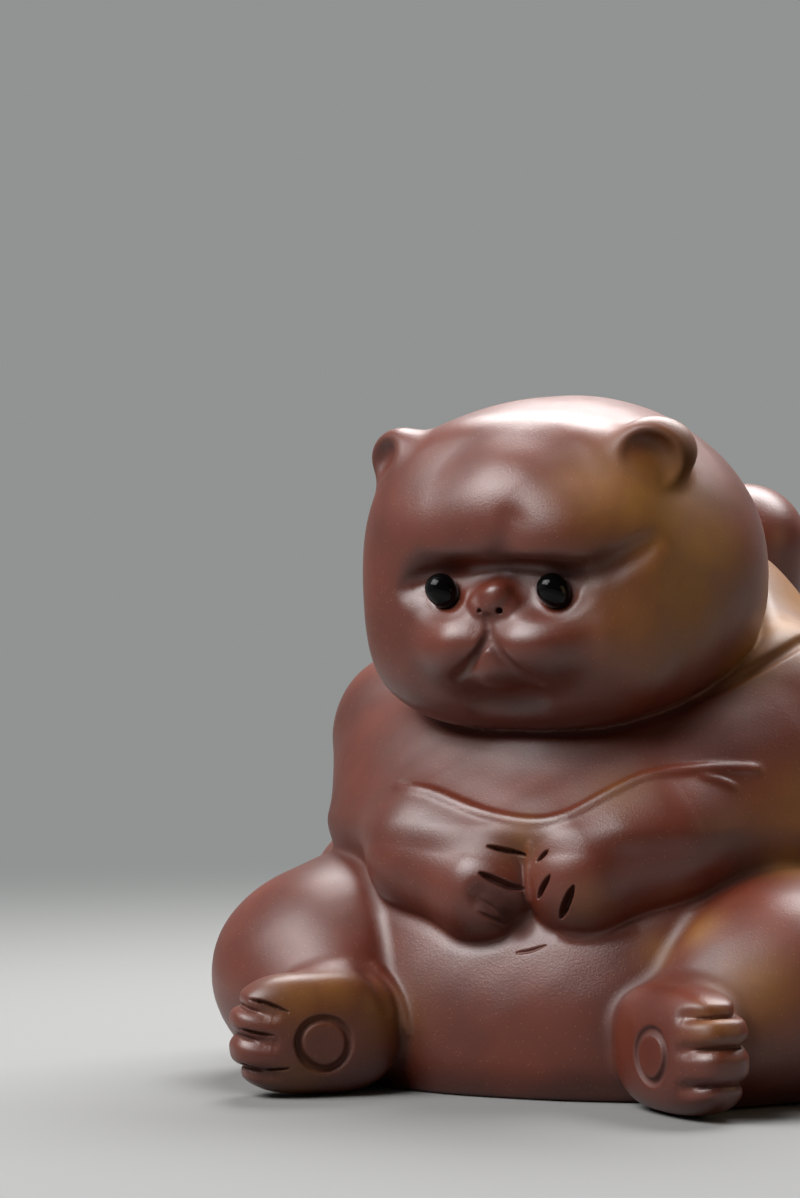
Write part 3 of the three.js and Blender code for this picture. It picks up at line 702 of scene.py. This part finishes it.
def nets(value, label):
    """A vertex in each cell that holds more than one owner, and a face across each change."""
    shape = np.array(label.shape) - 1
    first = label[:-1, :-1, :-1]
    mixed = np.zeros(tuple(shape), bool)
    outer = first < 0
    both = first >= 0
    for dx in (0, 1):
        for dy in (0, 1):
            for dz in (0, 1):
                c = label[dx:dx + shape[0], dy:dy + shape[1], dz:dz + shape[2]]
                mixed |= c != first
                outer = outer | (c < 0)
                both = both | (c >= 0)
    cells = np.argwhere(mixed)
    ids = np.full(tuple(shape), -1, np.int64)
    ids[mixed] = np.arange(len(cells))
    on_skin = (outer & both)[mixed]
    total, count = np.zeros((len(cells), 3)), np.zeros(len(cells))
    for axis in range(3):
        others = [i for i in range(3) if i != axis]
        for a in (0, 1):
            for b in (0, 1):
                p0 = cells.copy()
                p0[:, others] += (a, b)
                p1 = p0.copy()
                p1[:, axis] += 1
                l0, l1 = label[tuple(p0.T)], label[tuple(p1.T)]
                v0, v1 = value[tuple(p0.T)], value[tuple(p1.T)]
                change = l0 != l1
                edge = change & ((l0 < 0) | (l1 < 0))
                t = np.full(len(cells), 0.5)
                t[edge] = np.clip(v0[edge] / (v0[edge] - v1[edge] + 1e-12), 0, 1)
                use = np.where(on_skin, edge, change)
                q = p0.astype(float)
                q[:, axis] += t
                total[use] += q[use]
                count[use] += 1
    place = LOW + STEP * total / np.maximum(count, 1)[:, None]
    quads, lower, upper = [], [], []
    for axis in range(3):
        others = [i for i in range(3) if i != axis]
        one, next_one = (label[part] for part in either_side(axis))
        e = np.argwhere(one != next_one)
        keep = np.ones(len(e), bool)
        for o in others:
            keep &= (e[:, o] > 0) & (e[:, o] < shape[o])
        e = e[keep]

        def cell(a, b):
            q = e.copy()
            q[:, others] -= (a, b)
            return ids[tuple(q.T)]

        q = np.stack([cell(0, 0), cell(1, 0), cell(1, 1), cell(0, 1)], 1)
        # wound so that each face looks from the lower owner to the upper one
        if axis == 1:
            q = q[:, ::-1]
        quads.append(q)
        lower.append(one[tuple(e.T)])
        upper.append(next_one[tuple(e.T)])
    return place, on_skin, np.concatenate(quads), np.concatenate(lower), np.concatenate(upper)


def onto_skin(p, steps=3):
    """The points moved to where the field is zero."""
    for _ in range(steps):
        v = in_batches(clay, p)
        g = np.concatenate([slope(clay, q) for q in batches(p)])
        d = -(v / ((g * g).sum(1) + 1e-6))[:, None] * g
        length = np.linalg.norm(d, axis=1)
        d *= np.minimum(1, STEP * 0.6 / (length + 1e-9))[:, None]
        p = p + d
    return p


# ---------------------------------------------------------------- finishes


def node(tree, kind, **values):
    """A new node with its settings."""
    n = tree.nodes.new(kind)
    for key, value in values.items():
        setattr(n, key, value)
    return n


def feed(tree, value, socket):
    """Link a socket to another one, or set it to a number, a vector or a colour."""
    if isinstance(value, bpy.types.NodeSocket):
        tree.links.new(value, socket)
    elif socket.type == "RGBA":
        socket.default_value = (*value, 1)
    else:
        socket.default_value = value


def maths(tree, operation, *values):
    n = node(tree, "ShaderNodeMath", operation=operation)
    for value, socket in zip(values, n.inputs):
        feed(tree, value, socket)
    return n.outputs[0]


def mix(tree, factor, a, b):
    """The first colour, going over to the second one where the factor is 1."""
    n = node(tree, "ShaderNodeMix", data_type="RGBA")
    for key, value in (("Factor", factor), ("A", a), ("B", b)):
        feed(tree, value, n.inputs[key])
    return n.outputs["Result"]


def remap(tree, source, given, wanted, **values):
    """A value moved from one span onto another."""
    n = node(tree, "ShaderNodeMapRange", **values)
    feed(tree, source, n.inputs["Value"])
    for key, end in zip(("From Min", "From Max", "To Min", "To Max"), (*given, *wanted)):
        n.inputs[key].default_value = end
    return n.outputs["Result"]


def noise(tree, scale, detail=2.0, roughness=0.5):
    n = node(tree, "ShaderNodeTexNoise")
    place = node(tree, "ShaderNodeTexCoord").outputs["Object"]
    for key, value in (("Vector", place), ("Scale", scale), ("Detail", detail), ("Roughness", roughness)):
        feed(tree, value, n.inputs[key])
    return n.outputs["Fac"]


def painted(tree, name):
    """What a piece's points were given under this name."""
    return node(tree, "ShaderNodeAttribute", attribute_name=name).outputs["Fac"]


def material(name):
    m = bpy.data.materials.new(name)
    m.use_nodes = True
    return m, m.node_tree, m.node_tree.nodes["Principled BSDF"].inputs


# The whole span of a noise or a mask.
ALL = (0, 1)
CLAY_DARK, CLAY_LIGHT = (0.100, 0.0160, 0.0066), (0.162, 0.0290, 0.0122)
# The first of these is ochre slip mixed with a painted warm reflection; the last is the painted shade of
# creases and hollows.
OCHRE_AND_WARM_REFLECTION, SAND, CREASE_SHADE = (0.34, 0.135, 0.010), (0.50, 0.24, 0.11), (0.020, 0.006, 0.004)


def sand(tree):
    """1 in a few fine grains: six cells in a hundred hold one."""
    n = node(tree, "ShaderNodeTexVoronoi")
    n.inputs["Scale"].default_value = 3300
    feed(tree, node(tree, "ShaderNodeTexCoord").outputs["Object"], n.inputs["Vector"])
    chance = node(tree, "ShaderNodeSeparateColor")
    feed(tree, n.outputs["Color"], chance.inputs[0])
    inside = maths(tree, "LESS_THAN", n.outputs["Distance"], 0.30)
    few = maths(tree, "GREATER_THAN", chance.outputs[0], 0.94)
    return maths(tree, "MULTIPLY", inside, few)


def clay_finish():
    m, tree, clay_shader = material("clay_finish")
    body = node(tree, "ShaderNodeValToRGB")
    feed(tree, noise(tree, 110, 5), body.inputs["Fac"])
    for stop, at, colour in zip(body.color_ramp.elements, (0.3, 0.7), (CLAY_DARK, CLAY_LIGHT)):
        stop.position = at
        stop.color = (*colour, 1)
    patchy = remap(tree, noise(tree, 160, 6, 0.6), (0.3, 0.6), (0.65, 1.0))
    ochre_and_reflection, crease = maths(tree, "MULTIPLY", painted(tree, "ochre"), patchy), painted(tree, "crease")
    # the ochre colour stands for a slip and also for a painted warm reflection from the right
    colour = mix(tree, ochre_and_reflection, body.outputs["Color"], OCHRE_AND_WARM_REFLECTION)
    colour = mix(tree, maths(tree, "MULTIPLY", sand(tree), 0.3), colour, SAND)
    # painted shade: the colour goes over to a near-black red in creases and in the shade spots
    feed(tree, mix(tree, crease, colour, CREASE_SHADE), clay_shader["Base Color"])
    # the ochre slip is duller than the clay, and the creases and spots of painted shade are duller still
    rough = remap(tree, noise(tree, 260, 5), ALL, (0.33, 0.45))
    rough = maths(tree, "MULTIPLY_ADD", ochre_and_reflection, 0.2, rough)
    feed(tree, maths(tree, "MULTIPLY_ADD", crease, 1.0, rough), clay_shader["Roughness"])
    bump = node(tree, "ShaderNodeBump")
    bump.inputs["Strength"].default_value = 0.28
    bump.inputs["Distance"].default_value = 0.0001
    feed(tree, noise(tree, 3800, 2, 0.6), bump.inputs["Height"])
    feed(tree, bump.outputs["Normal"], clay_shader["Normal"])
    clay_shader["Specular IOR Level"].default_value = 0.85
    return m


def bead_finish():
    m, tree, glass = material("bead_finish")
    feed(tree, remap(tree, noise(tree, 700), ALL, (0.03, 0.09)), glass["Roughness"])
    glass["Base Color"].default_value = (0.002, 0.002, 0.002, 1)
    glass["Specular IOR Level"].default_value = 0.16
    return m


def looked_at(tree):
    """1 for what the camera and reflections see, 0 for the light thrown on the clay."""
    path = node(tree, "ShaderNodeLightPath").outputs
    seen_or_mirrored = maths(tree, "MAXIMUM", path["Is Camera Ray"], path["Is Glossy Ray"])
    return maths(tree, "MAXIMUM", path["Is Transmission Ray"], seen_or_mirrored)


BACKDROP = (0.285, 0.295, 0.290)
FLOOR_PALE, FLOOR_QUIET = (0.30, 0.30, 0.295), (0.08, 0.075, 0.07)
# From here to there, in metres, the floor runs into the backdrop.
FLOOR_FADE = (0.08, 0.42)


def floor_finish():
    m, tree, floor_shader = material("floor_finish")
    on_show = looked_at(tree)
    feed(tree, mix(tree, on_show, FLOOR_QUIET, FLOOR_PALE), floor_shader["Base Color"])
    floor_shader["Roughness"].default_value = 0.9
    floor_shader["Specular IOR Level"].default_value = 0.1
    far = node(tree, "ShaderNodeVectorMath", operation="LENGTH")
    feed(tree, node(tree, "ShaderNodeTexCoord").outputs["Object"], far.inputs[0])
    fade = remap(tree, far.outputs["Value"], FLOOR_FADE, ALL, interpolation_type="SMOOTHSTEP")
    glow = node(tree, "ShaderNodeEmission")
    feed(tree, BACKDROP, glow.inputs["Color"])
    run = node(tree, "ShaderNodeMixShader")
    feed(tree, maths(tree, "MULTIPLY", fade, on_show), run.inputs[0])
    feed(tree, tree.nodes["Principled BSDF"].outputs[0], run.inputs[1])
    feed(tree, glow.outputs[0], run.inputs[2])
    feed(tree, run.outputs[0], tree.nodes["Material Output"].inputs["Surface"])
    return m


CLAY, BEAD = clay_finish(), bead_finish()

# ---------------------------------------------------------------- painted shade in creases and hollows, and ochre with a painted warm reflection

# How far above a point the clay is felt for, and how much nearer it is there in the deepest crease.
FEEL, CREASED = 0.9, 0.45


def shade_of(p, n):
    """How deep in a crease each point of the skin lies."""
    return np.clip((FEEL - in_batches(clay, p + FEEL * n)) / CREASED, 0, 1)


# Spots under pixels of the photograph, each with its radius in millimetres and its strength.
# Ochre on the head's right side, the neck, the arms' lower edges and the feet: partly slip, partly a
# painted warm reflection.
OCHRE = [
    ((608, 492), 6, 0.8), ((640, 500), 6, 0.9), ((668, 505), 8, 1.0), ((700, 545), 8, 1.0),
    ((690, 590), 8, 1.0), ((655, 622), 7, 0.65), ((622, 610), 5, 0.35), ((745, 655), 5, 1.0),
    ((780, 628), 7, 1.0), ((797, 600), 8, 1.0), ((770, 560), 8, 0.6), ((790, 862), 4, 0.8),
    ((800, 820), 6, 0.6), ((620, 790), 4, 0.3), ((520, 838), 3, 0.4), ((590, 905), 3, 0.3),
    ((300, 992), 4, 0.55), ((330, 990), 4, 0.5), ((385, 1015), 4, 0.5), ((300, 1078), 3, 0.4),
    ((712, 1022), 3, 0.5), ((760, 990), 5, 0.6), ((700, 930), 3, 0.6), ((660, 950), 2.5, 0.5),
]
# Painted shade: in the right ear's hollow, in the gouge between the paws, under the brow and at the root of
# the nose.
SHADE_SPOTS = [
    ((686, 466), 3.4, 0.55), ((488, 905), 1.8, 0.6), ((505, 918), 2.0, 0.7), ((520, 928), 1.6, 0.5),
    ((600, 562), 2.4, 0.4), ((565, 564), 2.4, 0.4), ((500, 557), 2.6, 0.4), ((446, 570), 1.5, 0.25),
]


def spotted(p, spots):
    """The strength of the spots at each point."""
    w = np.zeros(len(p))
    for centre, (_, radius, amount) in zip(seen([px for px, _, _ in spots])[0], spots):
        w = np.maximum(w, amount * np.exp(-((p - centre) ** 2).sum(1) / radius ** 2))
    return w


# ---------------------------------------------------------------- the clay pieces


def unit(v):
    return v / (np.linalg.norm(v, axis=1)[:, None] + 1e-9)


def directions(p):
    """Outward directions; in a sharp crease, where they jump, the mean of the clay around."""
    out = []
    for q in batches(p):
        n, wide = unit(slope(clay, q)), unit(slope(clay, q, 0.3))
        w = settle(0.92, 0.65, (n * wide).sum(1)) * ~by_a_slit(q)
        out.append(unit(n + (wide - n) * w[:, None]))
    return np.concatenate(out)


# Face, paws and soles: centre and radius of the balls in which the skin is finer.
DETAIL = [((-3, -33, 62), 15.5), ((-1, -32, 26), 11.5), ((-28, -42, 8), 9.5), ((26, -42, 8), 10)]


def detailed(p):
    """Which points lie where the skin is finer."""
    near = [((p - np.array(centre)) ** 2).sum(1) < radius * radius for centre, radius in DETAIL]
    return np.any(near, axis=0)


def by_a_slit(p):
    """Which points lie on the edges of a groove."""
    hit = np.zeros(len(p), bool)
    for points, _, half, _, _ in TRACKS:
        at = close_to(p, points, half.max() + 1.0)
        if len(at):
            q = p[at].astype(F)
            d = np.full(len(at), 1e9, F)
            for a, b in zip(points[:-1], points[1:]):
                d = np.minimum(d, limb(q, a, b, 0, 0))
            hit[at] |= d < half.max() + 0.6
    return hit


# Points between the lumps stay this far below the skin, and below the second depth they are merged.
COVER, DEEP = 0.3, 1.1


def sink(place, on_skin):
    """Keep the points between the lumps clear of the skin."""
    for _ in range(2):
        at = np.nonzero(~on_skin)[0]
        v = in_batches(clay, place[at])
        at, v = at[v > -COVER], v[v > -COVER]
        if len(at):
            place[at] -= directions(place[at]) * (v + COVER)[:, None]


def gather(place, on_skin, quads):
    """Merge what lies deep between the lumps into few points; the skin and its edges stay as they are."""
    deep = ~on_skin
    deep[deep] = in_batches(clay, place[deep]) < -DEEP
    cell = np.floor(place[deep] / (4 * STEP)).astype(int)
    _, group = np.unique(cell, axis=0, return_inverse=True)
    group = group.ravel()
    count = np.bincount(group)
    centres = np.stack([np.bincount(group, place[deep][:, i]) / count for i in range(3)], 1)
    index = np.empty(len(place), int)
    index[~deep] = np.arange((~deep).sum())
    index[deep] = (~deep).sum() + group
    kept = np.concatenate([on_skin[~deep], np.zeros(len(centres), bool)])
    return np.concatenate([place[~deep], centres]), kept, index[quads]


def sound(faces):
    """Quads that are still quads, and the triangles that others have become."""
    turned = np.roll(faces, -1, 1)
    same = faces == turned
    crossed = (faces[:, 0] == faces[:, 2]) | (faces[:, 1] == faces[:, 3])
    whole = faces[(same.sum(1) == 0) & ~crossed]
    three = (same.sum(1) == 1) & ~crossed
    kept = faces[three][~same[three]].reshape(-1, 3)
    return whole.tolist() + np.unique(kept, axis=0).tolist()


def tucked(faces, on_skin):
    """Faces between the lumps, with no face or half of one left lying in the skin."""
    touching = on_skin[faces].sum(1)
    bent = faces[touching == 3]
    # cut in two from the one corner that isn't on the skin
    start = (~on_skin[bent]).argmax(1)[:, None]
    f = np.take_along_axis(bent, (start + np.arange(4)) % 4, 1)
    return sound(faces[touching < 3]) + f[:, [0, 1, 2]].tolist() + f[:, [0, 2, 3]].tolist()


# Edges are halved where both ends lie this near to the skin.
NEAR_SKIN = 0.06


def refine(me, low, high):
    """Halve the skin's edges in the detail, and again beside the slits, with the new points on the skin."""
    b = bmesh.new()
    b.from_mesh(me)
    for where in (detailed, by_a_slit):
        b.verts.ensure_lookup_table()
        p = np.array([v.co for v in b.verts])
        at = np.nonzero(where(p))[0]
        wanted = np.zeros(len(p), bool)
        if len(at):
            wanted[at] = np.abs(in_batches(clay, p[at])) < NEAR_SKIN
        b.verts.index_update()
        hidden = b.faces.layers.int["hidden"]
        edges = [e for e in b.edges if wanted[e.verts[0].index] and wanted[e.verts[1].index]
                 and not all(f[hidden] for f in e.link_faces)]
        if not edges:
            continue
        bmesh.ops.subdivide_edges(b, edges=edges, cuts=1, use_grid_fill=True)
        b.verts.ensure_lookup_table()
        fresh = np.array([v.co for v in b.verts[len(p):]])
        for v, co in zip(b.verts[len(p):], np.clip(onto_skin(fresh, 4), low, high)):
            v.co = co
    b.to_mesh(me)
    b.free()


def read(items, key, kind=np.int32, width=1):
    """One property of all the items of a mesh."""
    out = np.empty(len(items) * width, kind)
    items.foreach_get(key, out)
    return out


def agreed(me, n, loops, on_show):
    """The given directions, or the faces' own mean where the two disagree."""
    sizes, facing = read(me.polygons, "loop_total"), read(me.polygons, "normal", F, 3)
    flat = np.repeat(facing.reshape(-1, 3), sizes, axis=0)[on_show]
    mean = unit(np.stack([np.bincount(loops[on_show], flat[:, i], len(n)) for i in range(3)], 1))
    wrong = (np.abs(n).sum(1) > 0) & ((n * mean).sum(1) < 0.5)
    return np.where(wrong[:, None], mean, n)


def mesh_of(name, place, on_skin, faces, shown):
    """A mesh of one lump's faces, in which those between the lumps are marked as hidden."""
    used, faces = np.unique(faces, return_inverse=True)
    faces = faces.reshape(-1, 4)
    outside, inside = sound(faces[shown]), tucked(faces[~shown], on_skin[used])
    me = bpy.data.meshes.new("clay_" + name)
    me.from_pydata(place[used].tolist(), [], outside + inside)
    hidden = [0] * len(outside) + [1] * len(inside)
    me.attributes.new("hidden", "INT", "FACE").data.foreach_set("value", hidden)
    return me


def finish(me):
    """Give a mesh its smooth normals, its colours and its place in the frame."""
    p = read(me.vertices, "co", F, 3).reshape(-1, 3).astype(float)
    loops, hidden = read(me.loops, "vertex_index"), read(me.attributes["hidden"].data, "value")
    me.attributes.remove(me.attributes["hidden"])
    on_show = np.repeat(hidden == 0, read(me.polygons, "loop_total"))
    outer = np.zeros(len(p), bool)
    outer[loops[on_show]] = True
    n = np.zeros((len(p), 3))
    n[outer] = directions(p[outer])
    n = agreed(me, n, loops, on_show)
    # a sharp edge wherever a hidden face begins keeps it out of the skin's normals
    sharp = np.zeros(len(me.edges), bool)
    sharp[read(me.loops, "edge_index")[~on_show]] = True
    me.edges.foreach_set("use_edge_sharp", sharp.tolist())
    me.vertices.foreach_set("co", ((p + SHIFT) * MM).astype(F).ravel())
    me.polygons.foreach_set("use_smooth", [True] * len(me.polygons))
    # painted shade: each point's crease depth, with the shade spots laid over it, darkens the clay's colour
    crease = np.zeros(len(p))
    crease[outer] = 0.3 * shade_of(p[outer], n[outer])
    for key, values in (("crease", np.maximum(crease, spotted(p, SHADE_SPOTS))), ("ochre", spotted(p, OCHRE))):
        me.attributes.new(key, "FLOAT", "POINT").data.foreach_set("value", values.astype(F))
    me.normals_split_custom_set((n[loops] * on_show[:, None]).tolist())
    me.materials.append(CLAY)


def dress():
    place, on_skin, quads, lower, upper = nets(*skin())
    place[on_skin] = onto_skin(place[on_skin])
    sink(place, on_skin)
    low, high = (np.array(corner) / MM - SHIFT for corner in CAD_BOX)
    place, on_skin, quads = gather(np.clip(place, low, high), on_skin, quads)
    for number, name in enumerate(NAMES):
        ours, theirs = lower == number, upper == number
        faces = np.concatenate([quads[ours], quads[theirs][:, ::-1]])
        shown = np.concatenate([upper[ours], lower[theirs]]) < 0
        me = mesh_of(name, place, on_skin, faces, shown)
        refine(me, low, high)
        finish(me)
        piece = bpy.data.objects.new("clay_" + name, me)
        bpy.context.scene.collection.objects.link(piece)
        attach(piece, "root"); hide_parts(name)
        print("piece", name, len(me.vertices), sum(len(f.vertices) - 2 for f in me.polygons))


# ---------------------------------------------------------------- beads

UP = np.array([0, 0, 1.0])
# Two drops of glass run together, the second one lower and to the cat's left.
DROP, SECOND_DROP, DROP_BLEND = 1.95, 1.6, 0.9
SECOND_AT = 0.75 * RIGHT - 0.95 * UP
# The eyes in the head's own frame, and how far they are set towards the viewer.
EYE_SIDE, EYE_FRONT, EYE_HEIGHT = 7.6, -22.1, -2.1
EYE_PROUD = 0.25


def unit_ball(rings=60, sectors=96):
    """Points and faces of a ball of radius 1, rings of quads with a fan at each end."""
    v = []
    for i in range(1, rings):
        a = math.pi * i / rings
        for j in range(sectors):
            b = 2 * math.pi * j / sectors
            v.append([math.sin(a) * math.cos(b), math.sin(a) * math.sin(b), math.cos(a)])
    f = []
    for i in range(rings - 2):
        for j in range(sectors):
            k = (j + 1) % sectors
            f.append((i * sectors + j, (i + 1) * sectors + j, (i + 1) * sectors + k, i * sectors + k))
    top, last = len(v), (rings - 2) * sectors
    f += [(top, j, (j + 1) % sectors) for j in range(sectors)]
    f += [(top + 1, last + (j + 1) % sectors, last + j) for j in range(sectors)]
    return np.array(v + [[0, 0, 1], [0, 0, -1]], float), f


def lobed(centre):
    """One glossy bead: along each ray from its middle, the skin is found by halving."""
    v, f = unit_ball()
    rays = v / np.linalg.norm(v, axis=1)[:, None]
    low, high = np.zeros(len(v)), np.full(len(v), 5.0)
    for _ in range(26):
        mid = (low + high) / 2
        q = (rays * mid[:, None]).astype(F)
        second = np.linalg.norm(q - SECOND_AT.astype(F), axis=1) - SECOND_DROP
        d = join(np.linalg.norm(q, axis=1) - DROP, second, DROP_BLEND)
        low, high = np.where(d < 0, mid, low), np.where(d < 0, high, mid)
    return centre + rays * ((low + high) / 2)[:, None], f


def beads():
    for name, s in SIDES.items():
        v, f = lobed(on_head((s * EYE_SIDE, EYE_FRONT, EYE_HEIGHT)) - EYE_PROUD * AHEAD)
        me = bpy.data.meshes.new("bead_" + name)
        me.from_pydata([tuple((p + SHIFT) * MM) for p in v], [], f)
        me.polygons.foreach_set("use_smooth", [True] * len(me.polygons))
        me.materials.append(BEAD)
        o = bpy.data.objects.new("bead_" + name, me)
        bpy.context.scene.collection.objects.link(o)
        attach(o, "root"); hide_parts(name + "_eye_bead")


dress()
beads()

# ---------------------------------------------------------------- floor, backdrop and light

# In metres, like the lamps below.
HALF_FLOOR = 60


def stage():
    me = bpy.data.meshes.new("floor")
    v = [(x * HALF_FLOOR, y * HALF_FLOOR, 0) for x, y in ((-1, -1), (1, -1), (1, 1), (-1, 1))]
    me.from_pydata(v, [], [(0, 1, 2, 3)])
    me.materials.append(floor_finish())
    o = bpy.data.objects.new("floor", me)
    bpy.context.scene.collection.objects.link(o)


def lamp(name, place, size, power, target=(0, 0, 0.05), colour=(1, 1, 1)):
    light = bpy.data.lights.new(name, "AREA")
    light.shape = "RECTANGLE"
    light.size, light.size_y = size
    light.energy = power
    light.color = colour
    o = bpy.data.objects.new(name, light)
    bpy.context.scene.collection.objects.link(o)
    o.location = place
    o.rotation_euler = (Vector(target) - Vector(place)).to_track_quat("-Z", "Y").to_euler()


stage()
lamp("top_back", (0.02, 0.24, 0.44), (0.50, 0.22), 4.5, target=(0, 0, 0.075))
lamp("window", (-0.27, -0.35, 0.48), (0.50, 0.38), 4.4)
lamp("window_pane", (-0.27, -0.34, 0.47), (0.05, 0.05), 0.3)
lamp("warm_right", (0.42, -0.02, 0.16), (0.2, 0.2), 0.12, colour=(1, 0.68, 0.36))

QUIET_ROOM, DARK_ROOM = (0.05, 0.05, 0.05), (0.05, 0.05, 0.05)
DARK_SIDE = 0.8 * AHEAD - 0.6 * RIGHT


def sky(tree):
    """The backdrop, with a dark room mirrored from before the cat, on the side away from the window."""
    ahead = node(tree, "ShaderNodeVectorMath", operation="DOT_PRODUCT")
    feed(tree, node(tree, "ShaderNodeTexCoord").outputs["Generated"], ahead.inputs[0])
    feed(tree, DARK_SIDE, ahead.inputs[1])
    front = remap(tree, ahead.outputs["Value"], (0.25, -0.3), ALL, interpolation_type="SMOOTHSTEP")
    dark = maths(tree, "MULTIPLY", front, node(tree, "ShaderNodeLightPath").outputs["Is Glossy Ray"])
    return mix(tree, dark, mix(tree, looked_at(tree), QUIET_ROOM, BACKDROP), DARK_ROOM)


world = bpy.data.worlds.new("studio")
bpy.context.scene.world = world
world.use_nodes = True
ground = world.node_tree.nodes["Background"]
feed(world.node_tree, sky(world.node_tree), ground.inputs["Color"])
ground.inputs["Strength"].default_value = 1.0
bpy.context.scene.view_settings.view_transform = "Standard"
